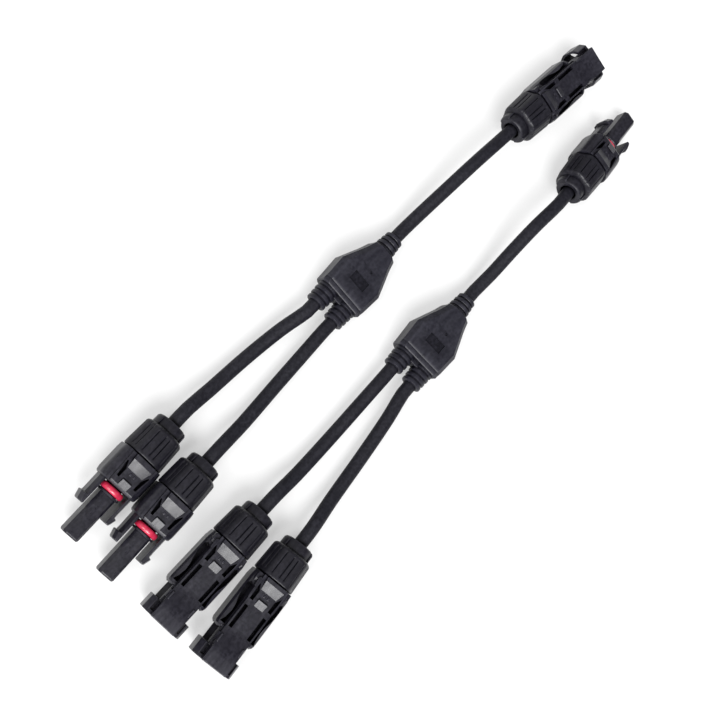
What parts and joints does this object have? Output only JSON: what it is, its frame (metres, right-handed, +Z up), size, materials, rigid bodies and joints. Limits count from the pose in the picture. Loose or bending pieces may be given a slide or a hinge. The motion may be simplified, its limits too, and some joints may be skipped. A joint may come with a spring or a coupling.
{
  "type": "solar cable connector",
  "caption": "Matched pair of branch leads for solar modules: locking plug-in connectors, short round cables and a flat moulded Y joint on each lead.",
  "frame": {"origin": "centre of the underside of the box round both leads as they lie on a table, free cables left out", "axes": "+Y along the leads, from the branch connectors to the trunk connectors; +Z up from the table"},
  "size_m": [0.0948, 0.3188, 0.0236],
  "materials": {
    "housing": "satin black moulded polymer",
    "nut": "satin black moulded polymer",
    "cage": "dark grey polymer",
    "grey_seal": "dark grey silicone",
    "red_seal": "glossy red silicone",
    "contact": "tin-plated copper",
    "moulding": "satin black overmoulding",
    "jacket": "matt black cable jacket",
    "copper": "stranded tinned copper"
  },
  "bodies": {
    "lead_a": {"a_left_cable_jacket": "jacket", "a_left_copper_core": "copper", "a_left_probe_cable_seal": "grey_seal", "a_left_probe_housing": "housing", "a_left_probe_seal_ring": "red_seal", "a_left_probe_socket_contact": "contact", "a_right_cable_jacket": "jacket", "a_right_copper_core": "copper", "a_right_probe_cable_seal": "grey_seal", "a_right_probe_housing": "housing", "a_right_probe_seal_ring": "red_seal", "a_right_probe_socket_contact": "contact", "a_splice_sleeve": "contact", "a_trunk_cable_jacket": "jacket", "a_trunk_copper_core": "copper", "a_trunk_shell_cable_seal": "grey_seal", "a_trunk_shell_housing": "housing", "a_trunk_shell_pin_contact": "contact", "a_y_moulding": "moulding"},
    "lead_b": {"b_left_cable_jacket": "jacket", "b_left_copper_core": "copper", "b_left_shell_cable_seal": "grey_seal", "b_left_shell_housing": "housing", "b_left_shell_pin_contact": "contact", "b_right_cable_jacket": "jacket", "b_right_copper_core": "copper", "b_right_shell_cable_seal": "grey_seal", "b_right_shell_housing": "housing", "b_right_shell_pin_contact": "contact", "b_splice_sleeve": "contact", "b_trunk_cable_jacket": "jacket", "b_trunk_copper_core": "copper", "b_trunk_probe_cable_seal": "grey_seal", "b_trunk_probe_housing": "housing", "b_trunk_probe_seal_ring": "red_seal", "b_trunk_probe_socket_contact": "contact", "b_y_moulding": "moulding"},
    "a_left_clamp_cage": {"a_left_probe_clamp_cage": "cage"},
    "a_left_cap_nut": {"a_left_probe_cap_nut": "nut"},
    "a_left_latch_port": {"a_left_probe_latch_port": "housing"},
    "a_left_latch_starboard": {"a_left_probe_latch_starboard": "housing"},
    "a_right_clamp_cage": {"a_right_probe_clamp_cage": "cage"},
    "a_right_cap_nut": {"a_right_probe_cap_nut": "nut"},
    "a_right_latch_port": {"a_right_probe_latch_port": "housing"},
    "a_right_latch_starboard": {"a_right_probe_latch_starboard": "housing"},
    "a_trunk_clamp_cage": {"a_trunk_shell_clamp_cage": "cage"},
    "a_trunk_cap_nut": {"a_trunk_shell_cap_nut": "nut"},
    "b_left_clamp_cage": {"b_left_shell_clamp_cage": "cage"},
    "b_left_cap_nut": {"b_left_shell_cap_nut": "nut"},
    "b_right_clamp_cage": {"b_right_shell_clamp_cage": "cage"},
    "b_right_cap_nut": {"b_right_shell_cap_nut": "nut"},
    "b_trunk_clamp_cage": {"b_trunk_probe_clamp_cage": "cage"},
    "b_trunk_cap_nut": {"b_trunk_probe_cap_nut": "nut"},
    "b_trunk_latch_port": {"b_trunk_probe_latch_port": "housing"},
    "b_trunk_latch_starboard": {"b_trunk_probe_latch_starboard": "housing"}
  },
  "joints": [
    {"name": "lead_b_lift", "type": "slide", "parent": "lead_a", "child": "lead_b", "axis": [0, 0, 1], "range_m": [0, 0.08]},
    {"name": "a_left_cage_slide", "type": "slide", "parent": "lead_a", "child": "a_left_clamp_cage", "axis": [-0.0175, 0.9998, 0], "range_m": [0, 0.0075]},
    {"name": "a_left_nut_turn", "type": "hinge", "parent": "a_left_clamp_cage", "child": "a_left_cap_nut", "pos_m": [-0.0373, -0.10847, 0.01021], "axis": [-0.0175, 0.9998, 0], "range_deg": [0, 900]},
    {"name": "a_left_latch_port_flex", "type": "hinge", "parent": "lead_a", "child": "a_left_latch_port", "pos_m": [-0.04384, -0.13139, 0.01246], "axis": [0.309, 0.0054, 0.9511], "range_deg": [0, 5], "stiffness_Nm_per_rad": 0.5},
    {"name": "a_left_latch_starboard_flex", "type": "hinge", "parent": "lead_a", "child": "a_left_latch_starboard", "pos_m": [-0.02996, -0.13114, 0.00795], "axis": [-0.309, -0.0054, -0.9511], "range_deg": [0, 5], "stiffness_Nm_per_rad": 0.5},
    {"name": "a_right_cage_slide", "type": "slide", "parent": "lead_a", "child": "a_right_clamp_cage", "axis": [-0.0192, 0.9998, 0], "range_m": [0, 0.0075]},
    {"name": "a_right_nut_turn", "type": "hinge", "parent": "a_right_clamp_cage", "child": "a_right_cap_nut", "pos_m": [-0.01704, -0.11037, 0.01005], "axis": [-0.0192, 0.9998, 0], "range_deg": [0, 900]},
    {"name": "a_right_latch_port_flex", "type": "hinge", "parent": "lead_a", "child": "a_right_latch_port", "pos_m": [-0.02371, -0.1333, 0.01169], "axis": [0.2249, 0.0043, 0.9744], "range_deg": [0, 5], "stiffness_Nm_per_rad": 0.5},
    {"name": "a_right_latch_starboard_flex", "type": "hinge", "parent": "lead_a", "child": "a_right_latch_starboard", "pos_m": [-0.00949, -0.13303, 0.00841], "axis": [-0.2249, -0.0043, -0.9744], "range_deg": [0, 5], "stiffness_Nm_per_rad": 0.5},
    {"name": "a_trunk_cage_slide", "type": "slide", "parent": "lead_a", "child": "a_trunk_clamp_cage", "axis": [-0.0678, -0.9939, 0.0872], "range_m": [0, 0.0075]},
    {"name": "a_trunk_nut_turn", "type": "hinge", "parent": "a_trunk_clamp_cage", "child": "a_trunk_cap_nut", "pos_m": [-0.02052, 0.10964, 0.01443], "axis": [-0.0678, -0.9939, 0.0872], "range_deg": [0, 900]},
    {"name": "b_left_cage_slide", "type": "slide", "parent": "lead_b", "child": "b_left_clamp_cage", "axis": [0.0087, 1, 0], "range_m": [0, 0.0075]},
    {"name": "b_left_nut_turn", "type": "hinge", "parent": "b_left_clamp_cage", "child": "b_left_cap_nut", "pos_m": [0.01223, -0.10936, 0.00978], "axis": [0.0087, 1, 0], "range_deg": [0, 900]},
    {"name": "b_right_cage_slide", "type": "slide", "parent": "lead_b", "child": "b_right_clamp_cage", "axis": [-0.0715, 0.9974, 0], "range_m": [0, 0.0075]},
    {"name": "b_right_nut_turn", "type": "hinge", "parent": "b_right_clamp_cage", "child": "b_right_cap_nut", "pos_m": [0.0339, -0.10829, 0.00986], "axis": [-0.0715, 0.9974, 0], "range_deg": [0, 900]},
    {"name": "b_trunk_cage_slide", "type": "slide", "parent": "lead_b", "child": "b_trunk_clamp_cage", "axis": [0.0293, -0.9859, 0.165], "range_m": [0, 0.0075]},
    {"name": "b_trunk_nut_turn", "type": "hinge", "parent": "b_trunk_clamp_cage", "child": "b_trunk_cap_nut", "pos_m": [0.01703, 0.10883, 0.01273], "axis": [0.0293, -0.9859, 0.165], "range_deg": [0, 900]},
    {"name": "b_trunk_latch_port_flex", "type": "hinge", "parent": "lead_b", "child": "b_trunk_latch_port", "pos_m": [0.02348, 0.13125, 0.00735], "axis": [0.2201, 0.1674, 0.961], "range_deg": [0, 5], "stiffness_Nm_per_rad": 0.5},
    {"name": "b_trunk_latch_starboard_flex", "type": "hinge", "parent": "lead_b", "child": "b_trunk_latch_starboard", "pos_m": [0.00925, 0.13137, 0.01059], "axis": [-0.2201, -0.1674, -0.961], "range_deg": [0, 5], "stiffness_Nm_per_rad": 0.5}
  ],
  "couplings": [
    {"joint": "a_left_cage_slide", "follows": "a_left_nut_turn", "m_per_rad": 0.00047744},
    {"joint": "a_right_cage_slide", "follows": "a_right_nut_turn", "m_per_rad": 0.00047744},
    {"joint": "a_trunk_cage_slide", "follows": "a_trunk_nut_turn", "m_per_rad": 0.00047744},
    {"joint": "b_left_cage_slide", "follows": "b_left_nut_turn", "m_per_rad": 0.00047744},
    {"joint": "b_right_cage_slide", "follows": "b_right_nut_turn", "m_per_rad": 0.00047744},
    {"joint": "b_trunk_cage_slide", "follows": "b_trunk_nut_turn", "m_per_rad": 0.00047744}
  ]
}
